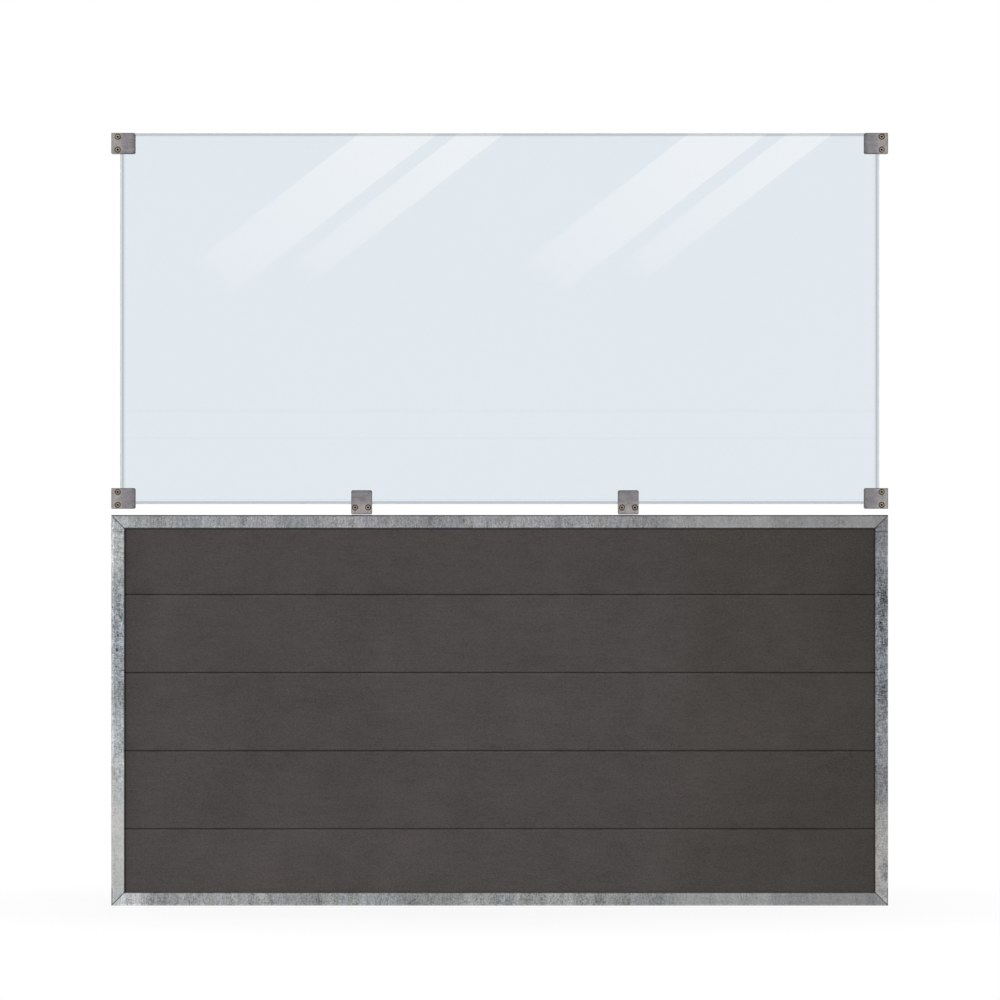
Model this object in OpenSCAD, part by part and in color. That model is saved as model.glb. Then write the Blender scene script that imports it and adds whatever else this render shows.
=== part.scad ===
// Privacy fence bay: hollow composite boards stacked in a mitred steel channel
// frame, with a glass pane above them held by six two-part clamps.
//
// Origin: foot of the left stile's outer face, where it bears on its post, in the
// middle of the frame's depth. X runs along the fence, -Y is the front, Z is up.

/* [Frame] */
// Width of the bay, from one post's face to the other's
bay_w = 1800; // [1000:10:2400]
// Width of the channel's lips, seen as the border of the panel
lip_w = 30; // [20:1:45]
// Thickness of the channel's sheet steel
steel_t = 2; // [1.5:0.5:3]
// Inside radius of the channel's bends
bend_r = 1; // [0.5:0.5:3]
// Diameter of the post screws' holes in the stiles
post_hole_d = 6.5; // [4.5:0.5:9]
// Distance of a post screw's hole from the panel's top or bottom
post_hole_inset = 100; // [60:5:200]
// Diameter of the drain holes in the bottom rail
drain_d = 8; // [5:1:12]
// Number of drain holes
drain_count = 3; // [1:1:6]

/* [Boards] */
// Number of boards stacked in the frame
board_rows = 5; // [3:1:8]
// Height of a board between its two shoulders
board_h = 180; // [130:1:220]
// Thickness of a board
board_t = 24; // [20:1:32]
// Open joint between the shoulders of two boards
joint_gap = 1; // [0.5:0.5:3]
// Chamfer along the edges of a board's faces
board_chamfer = 2; // [1:0.5:3]
// Thickness of a board's tongue
tongue_t = 8; // [6:0.5:9]
// Depth of a board's groove, whose floor the tongue stands in
groove_depth = 9; // [7:0.5:12]
// Clearance on each side of the tongue in its groove
tongue_fit = 0.5; // [0.25:0.25:1]
// Thickness of the walls round a board's hollow cells
wall_t = 5; // [4:0.5:6]
// Thickness of the ribs between the cells
rib_t = 5; // [4:0.5:7]
// Number of hollow cells in a board
cell_count = 6; // [4:1:8]
// Radius in the corners of a cell
cell_r = 3; // [1:0.5:4]
// Height ripped off the lower edge of the bottom board
bottom_rip = 5; // [1:0.5:8]
// Clearance between a board's face and the channel's lip
board_fit = 1; // [0.5:0.25:2]
// Gap at each end of a board, for its growth in heat
end_gap = 4; // [2:0.5:8]
// Gap between the top board and the top rail's web
top_gap = 2; // [1:0.5:5]

/* [Glass] */
// Height of the glass pane
glass_h = 860; // [400:10:1200]
// Thickness of the glass
glass_t = 8; // [6:1:12]
// Width of the arris ground along the pane's edges
arris = 1; // [0.5:0.25:2]

/* [Glass clamps] */
// Length of a clamp, from its base to the tip of its jaws
clamp_l = 55; // [46:1:80]
// Width of a clamp
clamp_w = 48; // [46:1:64]
// Thickness of each jaw
jaw_t = 8; // [7:0.5:12]
// Length of the solid block between the base and the slot
block_l = 19; // [18.5:0.5:24]
// Radius of the corners at the tip of the jaws
tip_r = 4; // [2:0.5:8]
// Radius of the corners at the base
base_r = 1.5; // [1.5:0.5:3]
// Chamfer round the outer face of each jaw
edge_chamfer = 1; // [0.5:0.25:1.5]
// Distance of the cover screws from the base
screw_inset = 15; // [10:0.5:15.5]
// Distance between the two cover screws
screw_pitch = 30; // [26:1:32]
// Diameter of the cover screws
screw_d = 6; // [5:1:6]
// Diameter of the countersinks in the cover
sink_d = 12.8; // [11:0.2:14]
// Depth of the tapped holes in the block
tap_depth = 14; // [10:1:16]
// Diameter of the bolt hole through the base
base_hole_d = 6.5; // [5.5:0.5:8.5]
// Diameter of the recess for the base bolt's head
base_recess_d = 11; // [9:0.5:11.5]
// Depth of that recess
base_recess_depth = 4; // [3:0.5:6]
// Reach of the lower corner clamps below the glass
corner_drop = 11; // [0:1:20]
// Distance of the left foot clamp from the left post
foot_left_inset = 580; // [150:5:600]
// Distance of the right foot clamp from the right post
foot_right_inset = 602; // [150:1:602]
// Thickness of the pad between a foot clamp and the rail
foot_pad_t = 2.5; // [1:0.5:5]

/* [Gaskets] */
// Thickness of the rubber on each face of the glass
cheek_t = 2; // [1:0.5:3]
// Thickness of the rubber at the glass's side edges
side_web_t = 1; // [0.5:0.5:3]
// Thickness of the rubber that the glass stands on
foot_web_t = 4; // [2:0.5:6]
// Set-back of a gasket and a pad from the clamp's outline
gasket_inset = 1.5; // [0.5:0.5:3]

/* [Hidden] */
$fn = 48;
eps = 0.01;

frame_d = board_t + 2 * (board_fit + steel_t);
board_pitch = board_h + joint_gap;
tongue_h = groove_depth + joint_gap;
tongue_tip = 1;
board_l = bay_w - 2 * (steel_t + end_gap);
first_board_z = steel_t - bottom_rip;
panel_h = first_board_z + board_rows * board_pitch - joint_gap + top_gap + steel_t;
cell_span = board_h - groove_depth - 2 * wall_t;
cell_h = (cell_span - (cell_count - 1) * rib_t) / cell_count;

slot_t = glass_t + 2 * cheek_t;
jaw_chamfer = min(edge_chamfer, base_r, tip_r);
clamp_d = slot_t + 2 * jaw_t;
glass_side_gap = block_l + side_web_t;
glass_w = bay_w - 2 * glass_side_gap;
glass_z = panel_h + foot_pad_t + block_l + foot_web_t;
upper_clamp_z = glass_z + glass_h - clamp_w / 2;
lower_clamp_z = glass_z - corner_drop + clamp_w / 2;
foot_left_x = foot_left_inset;
foot_right_x = bay_w - foot_right_inset;
screw_clear_d = screw_d + 0.6;
screw_core_d = screw_d - 1;
sink_depth = (sink_d - screw_clear_d) / 2;

steel = "#9a9da0";
composite = "#4b4746";
glass_tint = [0.80, 0.87, 0.90, 0.45];
cast_zinc = "#858388";
rubber = "#26262a";
pad_white = "#dcdcd8";

// Each clamp's name, the side it stands on, its place along that side, and the
// thickness of the rubber between its block and the glass
CLAMPS = [
    ["clamp_top_left", "left post", upper_clamp_z, side_web_t],
    ["clamp_top_right", "right post", upper_clamp_z, side_web_t],
    ["clamp_bottom_left", "left post", lower_clamp_z, side_web_t],
    ["clamp_bottom_right", "right post", lower_clamp_z, side_web_t],
    ["foot_clamp_left", "rail", foot_left_x, foot_web_t],
    ["foot_clamp_right", "rail", foot_right_x, foot_web_t],
];
FOOT_PADS = [["foot_pad_left", foot_left_x], ["foot_pad_right", foot_right_x]];

// ---- Placing ---------------------------------------------------------------

// A cross-section's x becomes the depth, its y the height, and it runs along X
module along_fence(length) {
    rotate([90, 0, 90]) linear_extrude(length) children();
}

// Swaps X and Z, so that what ran along the fence stands up
module upright() {
    mirror([1, 0, -1]) children();
}

module on_left_post(z) {
    translate([0, 0, z]) children();
}

module on_right_post(z) {
    translate([bay_w, 0, z]) mirror([1, 0, 0]) children();
}

module on_rail(x) {
    translate([x, 0, panel_h + foot_pad_t]) upright() children();
}

module in_place(clamp) {
    if (clamp[1] == "left post") on_left_post(clamp[2]) children();
    if (clamp[1] == "right post") on_right_post(clamp[2]) children();
    if (clamp[1] == "rail") on_rail(clamp[2]) children();
}

// ---- Frame -----------------------------------------------------------------

// Slab with its two lower corners rounded, its foot on y = 0
module round_foot(w, h, r) {
    translate([-w / 2 + r, 0]) square([w - 2 * r, h]);
    translate([-w / 2, r]) square([w, h - r]);
    for (side = [-1, 1]) translate([side * (w / 2 - r), r]) circle(r);
}

// Folded sheet channel with its web at the bottom and its lips up
module channel_profile() {
    difference() {
        round_foot(frame_d, lip_w, bend_r + steel_t);
        translate([0, steel_t]) round_foot(frame_d - 2 * steel_t, lip_w, bend_r);
    }
}

// Channel along X with both ends mitred, and round holes through its web
module mitred_channel(length, hole_d, hole_places) {
    difference() {
        intersection() {
            along_fence(length) channel_profile();
            rotate([90, 0, 0]) linear_extrude(frame_d + 2, center = true)
                polygon([[0, 0], [length, 0], [length - lip_w, lip_w], [lip_w, lip_w]]);
        }
        for (x = hole_places)
            translate([x, 0, -1]) cylinder(d = hole_d, h = steel_t + 2);
    }
}

module frame_bottom_rail() {
    places = [for (i = [1:drain_count]) i * bay_w / (drain_count + 1)];
    color(steel) mitred_channel(bay_w, drain_d, places);
}

module frame_top_rail() {
    color(steel) translate([0, 0, panel_h]) mirror([0, 0, 1])
        mitred_channel(bay_w, base_hole_d, [foot_left_x, foot_right_x]);
}

module frame_left_stile() {
    places = [post_hole_inset, panel_h - post_hole_inset];
    color(steel) upright() mitred_channel(panel_h, post_hole_d, places);
}

module frame_right_stile() {
    color(steel) translate([bay_w, 0, 0]) mirror([1, 0, 0]) frame_left_stile();
}

// ---- Boards ----------------------------------------------------------------

module rounded_rect(w, h, r) {
    square([w - 2 * r, h], center = true);
    square([w, h - 2 * r], center = true);
    for (x = [-1, 1], y = [-1, 1]) translate([x * (w / 2 - r), y * (h / 2 - r)]) circle(r);
}

// Section with the tongue on its upper edge and the groove in its lower one
module board_profile(has_tongue) {
    half = board_t / 2;
    c = board_chamfer;
    groove_half = tongue_t / 2 + tongue_fit;
    difference() {
        union() {
            polygon([
                [-half, c], [-half + c, 0], [half - c, 0], [half, c],
                [half, board_h - c], [half - c, board_h],
                [-half + c, board_h], [-half, board_h - c],
            ]);
            if (has_tongue) translate([0, board_h]) polygon([
                [-tongue_t / 2, -c], [tongue_t / 2, -c],
                [tongue_t / 2, tongue_h - tongue_tip], [tongue_t / 2 - tongue_tip, tongue_h],
                [tongue_tip - tongue_t / 2, tongue_h], [-tongue_t / 2, tongue_h - tongue_tip],
            ]);
        }
        translate([-groove_half, -1]) square([2 * groove_half, groove_depth + 1]);
        for (cell = [0:cell_count - 1])
            translate([0, groove_depth + wall_t + cell_h / 2 + cell * (cell_h + rib_t)])
                rounded_rect(board_t - 2 * wall_t, cell_h, cell_r);
    }
}

// Rows count from the bottom: the lowest board is ripped to stand on the rail's
// web, and the highest has lost its tongue
module board(row) {
    z = first_board_z + (row - 1) * board_pitch;
    color(composite) difference() {
        translate([steel_t + end_gap, 0, z]) along_fence(board_l) board_profile(row < board_rows);
        if (row == 1) translate([0, -board_t, steel_t - board_t])
            cube([bay_w, 2 * board_t, board_t]);
    }
}

// ---- Glass -----------------------------------------------------------------

// Slab's section across one direction, with its arrises
module arrised_section(w) {
    half = glass_t / 2;
    polygon([
        [0, -half + arris], [arris, -half], [w - arris, -half], [w, -half + arris],
        [w, half - arris], [w - arris, half], [arris, half], [0, half - arris],
    ]);
}

module glass_pane() {
    color(glass_tint) translate([glass_side_gap, 0, glass_z]) intersection() {
        linear_extrude(glass_h) arrised_section(glass_w);
        upright() linear_extrude(glass_w) arrised_section(glass_h);
    }
}

// ---- Clamps: base on x = 0, jaws towards +X, width along Z -------------------

// Half a jaw, its outer face up: x runs from the rounded end to the jaw's middle
module jaw_half(corner_r) {
    half_l = clamp_l / 2;
    half_w = clamp_w / 2;
    edge = jaw_t - jaw_chamfer;
    rotate([90, 0, 90]) translate([0, 0, corner_r]) linear_extrude(half_l - corner_r) polygon([
        [-half_w, 0], [half_w, 0], [half_w, edge],
        [half_w - jaw_chamfer, jaw_t], [jaw_chamfer - half_w, jaw_t], [-half_w, edge],
    ]);
    rotate([90, 0, 0]) linear_extrude(clamp_w - 2 * corner_r, center = true) polygon([
        [0, 0], [half_l, 0], [half_l, jaw_t], [jaw_chamfer, jaw_t], [0, edge],
    ]);
    for (side = [-1, 1]) translate([corner_r, side * (half_w - corner_r), 0]) rotate_extrude()
        polygon([
            [0, 0], [corner_r, 0], [corner_r, edge], [corner_r - jaw_chamfer, jaw_t], [0, jaw_t],
        ]);
}

// Jaw in front of the slot; its mirror image stands behind it
module jaw() {
    translate([0, -slot_t / 2, 0]) rotate([90, 0, 0]) {
        jaw_half(base_r);
        translate([clamp_l, 0, 0]) mirror([1, 0, 0]) jaw_half(tip_r);
    }
}

// Solid block between the two jaws, with the base's rounded corners
module base_block() {
    half = clamp_w / 2;
    rotate([90, 0, 0]) linear_extrude(slot_t, center = true) {
        translate([base_r, -half]) square([block_l - base_r, clamp_w]);
        translate([0, -half + base_r]) square([block_l, clamp_w - 2 * base_r]);
        for (side = [-1, 1]) translate([base_r, side * (half - base_r)]) circle(base_r);
    }
}

// Front-facing drilling at each cover screw, starting at depth y
module at_cover_screws(y) {
    for (side = [-1, 1])
        translate([screw_inset, y, side * screw_pitch / 2]) rotate([-90, 0, 0]) children();
}

module clamp_body() {
    difference() {
        union() {
            mirror([0, 1, 0]) jaw();
            base_block();
        }
        at_cover_screws(-slot_t / 2 - 1) cylinder(d = screw_core_d, h = tap_depth + 1);
        rotate([0, 90, 0]) {
            translate([0, 0, -1]) cylinder(d = base_hole_d, h = block_l + 2);
            translate([0, 0, block_l - base_recess_depth])
                cylinder(d = base_recess_d, h = base_recess_depth + 1);
        }
    }
}

module clamp_cover() {
    difference() {
        jaw();
        at_cover_screws(-slot_t / 2 - jaw_t - 1) cylinder(d = screw_clear_d, h = jaw_t + 2);
        at_cover_screws(-slot_t / 2 - jaw_t - eps)
            cylinder(d1 = sink_d + 2 * eps, d2 = screw_clear_d, h = sink_depth + eps);
    }
}

// Channel of rubber round the glass's edge, open at both ends
module clamp_gasket(web_t) {
    length = clamp_w - 2 * gasket_inset;
    reach = clamp_l - gasket_inset - block_l;
    translate([block_l, 0, -length / 2]) linear_extrude(length) difference() {
        translate([0, -slot_t / 2]) square([reach, slot_t]);
        translate([web_t, -glass_t / 2]) square([reach, glass_t]);
    }
}

module foot_pad(x) {
    w = clamp_w - 2 * gasket_inset;
    d = clamp_d - 2 * gasket_inset;
    color(pad_white) translate([x, 0, panel_h]) linear_extrude(foot_pad_t) difference() {
        square([w, d], center = true);
        circle(d = base_hole_d);
    }
}

// ---- Nodes -----------------------------------------------------------------

frame_bottom_rail();
frame_top_rail();
frame_left_stile();
frame_right_stile();
for (row = [1:board_rows])
    board(row);
glass_pane();
for (clamp = CLAMPS) {
    color(cast_zinc) in_place(clamp) clamp_body();
    color(cast_zinc) in_place(clamp) clamp_cover();
    color(rubber) in_place(clamp) clamp_gasket(clamp[3]);
}
for (pad = FOOT_PADS)
    foot_pad(pad[1]);
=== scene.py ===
"""Looks of a composite privacy fence bay with a glass screen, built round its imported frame.

The bay is a mitred frame of galvanised steel channels filled with five hollow composite
boards. Above it a clear glass pane is held by six two-part clamps with rubber channels.
All sizes are in metres. X runs along the fence, Y into it and Z up.
"""

import logging
import math
from dataclasses import dataclass, replace
from enum import Enum
from typing import Any, Callable, Dict, Optional, Tuple, Union

import bmesh
import bpy
from mathutils import Matrix, Vector

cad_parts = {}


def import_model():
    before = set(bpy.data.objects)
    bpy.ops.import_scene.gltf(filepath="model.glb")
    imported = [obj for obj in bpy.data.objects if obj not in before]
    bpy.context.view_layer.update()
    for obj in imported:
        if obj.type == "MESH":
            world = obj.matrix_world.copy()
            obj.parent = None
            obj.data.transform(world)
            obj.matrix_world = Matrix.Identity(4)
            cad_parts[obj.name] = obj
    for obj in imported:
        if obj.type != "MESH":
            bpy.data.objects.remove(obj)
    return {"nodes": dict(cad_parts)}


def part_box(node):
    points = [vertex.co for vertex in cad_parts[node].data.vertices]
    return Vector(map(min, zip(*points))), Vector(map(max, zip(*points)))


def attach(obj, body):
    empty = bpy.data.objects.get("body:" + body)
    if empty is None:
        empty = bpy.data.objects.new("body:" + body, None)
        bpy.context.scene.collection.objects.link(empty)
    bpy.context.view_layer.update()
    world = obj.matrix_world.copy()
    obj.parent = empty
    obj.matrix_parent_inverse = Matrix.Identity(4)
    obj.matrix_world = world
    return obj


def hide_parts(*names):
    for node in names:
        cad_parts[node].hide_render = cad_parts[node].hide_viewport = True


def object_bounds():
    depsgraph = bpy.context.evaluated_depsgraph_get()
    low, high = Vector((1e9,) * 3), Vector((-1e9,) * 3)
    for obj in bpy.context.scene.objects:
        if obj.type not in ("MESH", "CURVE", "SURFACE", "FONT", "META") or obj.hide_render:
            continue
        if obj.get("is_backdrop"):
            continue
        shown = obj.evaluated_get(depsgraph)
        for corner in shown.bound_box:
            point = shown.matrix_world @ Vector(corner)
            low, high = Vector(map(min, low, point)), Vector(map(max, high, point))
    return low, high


LOG = logging.getLogger("fence_bay")
ROOT = "root"
MM = 0.001
LIP = 30 * MM
SAME_POINT = 0.001 * MM
SAME_PLANE = math.radians(0.3)

Material = bpy.types.Material
Mesh = bmesh.types.BMesh
Edge = bmesh.types.BMEdge
Node = bpy.types.Node
Object = bpy.types.Object
Key = Union[int, str]
Test = Callable[[Edge], bool]
Span = Tuple[float, float]
Triple = Tuple[float, float, float]
Rgb = Triple
Waves = Triple
Tones = Tuple[Tuple[float, Rgb], ...]
Levels = Tuple[Span, ...]
Term = Union[float, "Socket"]


# ---- colours


def linear(rgb: Rgb) -> Rgb:
    """The linear light of a colour that is given from 0 to 255, as a screen shows it."""
    shares = [c / 255 for c in rgb]
    return tuple(s / 12.92 if s <= 0.04045 else ((s + 0.055) / 1.055) ** 2.4 for s in shares)


def lit(tones: Tones) -> Tones:
    """Stops given by millimetres and screen colour, as stops by metres and linear colour."""
    return tuple((at * MM, linear(rgb)) for at, rgb in tones)


# ---- shader graphs


@dataclass(frozen=True)
class Socket:
    """An output of a shader node that arithmetic can be written on."""

    graph: "Graph"
    port: bpy.types.NodeSocket

    def __add__(self, other: Term) -> "Socket":
        """Sum of the two values."""
        return self.graph.math("ADD", self, other)

    def __sub__(self, other: Term) -> "Socket":
        """This value less the other."""
        return self.graph.math("SUBTRACT", self, other)

    def __rsub__(self, other: Term) -> "Socket":
        """The other value less this one."""
        return self.graph.math("SUBTRACT", other, self)

    def __mul__(self, other: Term) -> "Socket":
        """Product of the two values."""
        return self.graph.math("MULTIPLY", self, other)

    def __truediv__(self, other: Term) -> "Socket":
        """This value over the other."""
        return self.graph.math("DIVIDE", self, other)

    def __abs__(self) -> "Socket":
        """The value without its sign."""
        return self.graph.math("ABSOLUTE", self)

    __radd__ = __add__
    __rmul__ = __mul__


class Graph:
    """The nodes of one material or of the world, added by plain calls.

    Its place is the point of the surface in the bay's own frame, in metres.
    """

    def __init__(self, tree: bpy.types.NodeTree) -> None:
        """Empties the tree and takes it over.

        Args:
            tree: The nodes of a material or of the world.
        """
        tree.nodes.clear()
        self.tree = tree
        self.points = self.node("TexCoord")
        self.place = self.out(self.points, "Object")

    def node(self, kind: str, inputs: Optional[Dict[Key, Any]] = None, **settings: Any) -> Node:
        """Adds one node.

        Args:
            kind: The node's type name after the words that all of them start with.
            inputs: Values or sockets for its inputs, by name or number.
            **settings: Its own settings, set before its inputs.

        Returns:
            The new node.
        """
        made = self.tree.nodes.new(f"ShaderNode{kind}")
        for key, value in settings.items():
            setattr(made, key, value)
        for key, value in (inputs or {}).items():
            if isinstance(value, Socket):
                self.tree.links.new(value.port, made.inputs[key])
            else:
                made.inputs[key].default_value = value
        return made

    def out(self, node: Node, key: Key = 0) -> Socket:
        """Wraps one output of a node."""
        return Socket(self, node.outputs[key])

    def math(self, operation: str, *terms: Term) -> Socket:
        """Adds a Math node with these terms."""
        return self.out(self.node("Math", dict(enumerate(terms)), operation=operation))

    def least(self, a: Term, b: Term) -> Socket:
        """The smaller of two values."""
        return self.math("MINIMUM", a, b)

    def most(self, a: Term, b: Term) -> Socket:
        """The larger of two values."""
        return self.math("MAXIMUM", a, b)

    def far(self, x: Socket, y: Socket) -> Socket:
        """The distance whose two parts, at right angles, are given."""
        return self.math("SQRT", x * x + y * y)

    def stored(self, name: str, output: str) -> Socket:
        """A value that the mesh keeps at each of its points."""
        return self.out(self.node("Attribute", attribute_name=name), output)

    def split(self, vector: Socket) -> Tuple[Socket, Socket, Socket]:
        """The three parts of a vector."""
        made = self.node("SeparateXYZ", {0: vector})
        return self.out(made, 0), self.out(made, 1), self.out(made, 2)

    def stretched(self, vector: Socket, scale: Waves) -> Socket:
        """The vector with each of its parts multiplied by its own number."""
        return self.out(self.node("VectorMath", {0: vector, 1: scale}, operation="MULTIPLY"))

    def noise(self, per_metre: Waves, detail: float = 2.0, rough: float = 0.5) -> Socket:
        """Smooth noise round 0.

        Args:
            per_metre: How many waves it has in a metre along X, Y and Z.
            detail: How many finer layers are added.
            rough: How strong each finer layer is.

        Returns:
            A value from about -0.5 to 0.5.
        """
        vector = self.stretched(self.place, per_metre)
        inputs = {"Vector": vector, "Scale": 1.0, "Detail": detail, "Roughness": rough}
        return self.out(self.node("TexNoise", inputs)) - 0.5

    def cells(self, per_metre: Waves) -> Socket:
        """One level for each crystal-like cell.

        Args:
            per_metre: How many cells lie in a metre along X, Y and Z.

        Returns:
            A value from about -0.5 to 0.5 that is the same all over a cell.
        """
        made = self.node("TexVoronoi", {"Vector": self.stretched(self.place, per_metre), "Scale": 1.0})
        return self.out(self.node("SeparateColor", {0: self.out(made, "Color")})) - 0.5

    def rise(self, value: Socket, low: float, high: float) -> Socket:
        """A smooth step from 0 at low to 1 at high, or falling where low is the larger."""
        ends = {1: min(low, high), 2: max(low, high), 3: float(low > high), 4: float(low < high)}
        return self.out(self.node("MapRange", {0: value, **ends}, interpolation_type="SMOOTHSTEP"))

    def step(self, value: Socket, at: float, soft: float) -> Socket:
        """0 below a value and 1 above it, blurred by soft to both sides."""
        return self.rise(value, at - soft, at + soft)

    def window(self, value: Socket, start: float, end: float, soft: float) -> Socket:
        """1 from start to end and 0 outside, blurred by soft to both sides."""
        return self.step(value, start, soft) * self.rise(value, end + soft, end - soft)

    def line(self, off: Socket, core: float, reach: float) -> Socket:
        """1 within core of a line and 0 beyond reach, from the distance off it."""
        return self.rise(abs(off), reach, core)

    def ramp(self, value: Socket, reach: float, stops: Tones, kind: str = "LINEAR") -> Socket:
        """A colour that follows a value through stops.

        Args:
            value: What it follows, from 0 to reach.
            reach: The value at the ramp's far end.
            stops: Pairs of value and linear colour, in rising order.
            kind: How the colour runs from stop to stop.

        Returns:
            The colour.
        """
        made = self.node("ValToRGB", {0: value / reach})
        ramp = made.color_ramp
        ramp.interpolation = kind
        while len(ramp.elements) < len(stops):
            ramp.elements.new(1.0)
        for element, (at, colour) in zip(ramp.elements, stops):
            element.position = at / reach
            element.color = (*colour, 1.0)
        return self.out(made)

    def curve(self, value: Socket, reach: float, points: Levels, kind: str = "LINEAR") -> Socket:
        """A number that follows a value through points.

        Args:
            value: What it follows, from 0 to reach.
            reach: The value at the curve's far end.
            points: Pairs of value and number, in rising order of value.
            kind: How the number runs from point to point.

        Returns:
            The number.
        """
        top = max(number for _, number in points)
        greys = tuple((at, (number / top,) * 3) for at, number in points)
        return top * self.split(self.ramp(value, reach, greys, kind))[0]

    def mix(self, share: Term, a: Union[Rgb, Socket], b: Union[Rgb, Socket]) -> Socket:
        """The colour a where the share is 0 and b where it is 1."""
        sides = {6: a if isinstance(a, Socket) else (*a, 1.0), 7: b if isinstance(b, Socket) else (*b, 1.0)}
        return self.out(self.node("Mix", {0: share, **sides}, data_type="RGBA"), 2)

    def shaded(self, colour: Union[Rgb, Socket], level: Term) -> Socket:
        """The colour made lighter or darker by a level round 1."""
        return self.out(self.node("VectorMath", {0: colour, "Scale": level}, operation="SCALE"))

    def bump(self, height: Socket, depth: float, strength: float) -> Socket:
        """The normal over a relief, whose height is given in shares of a depth in metres."""
        return self.out(self.node("Bump", {"Height": height, "Distance": depth, "Strength": strength}))

    def surface(self, **inputs: Any) -> None:
        """Ends the graph in a Principled shader with these inputs, named with _ for each space."""
        shader = self.node("BsdfPrincipled", {key.replace("_", " "): inputs[key] for key in inputs})
        self.node("OutputMaterial", {"Surface": self.out(shader)})

    def show(self, share: Socket, hidden: Node, shown: Node, end: str = "Material") -> None:
        """Ends a Material's or World's graph in one shader where the share is 0, the other where 1."""
        both = self.node("MixShader", {0: share, 1: self.out(hidden), 2: self.out(shown)})
        self.node(f"Output{end}", {"Surface": self.out(both)})


def new_material(name: str) -> Tuple[Material, Graph]:
    """Makes an empty material.

    Args:
        name: What it is called.

    Returns:
        The material and its graph.
    """
    material = bpy.data.materials.new(name)
    material.use_nodes = True
    return material, Graph(material.node_tree)


# ---- finishes


class Run(Enum):
    """Which way a member of the frame runs."""

    ALONG = "along"
    UPRIGHT = "upright"


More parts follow.
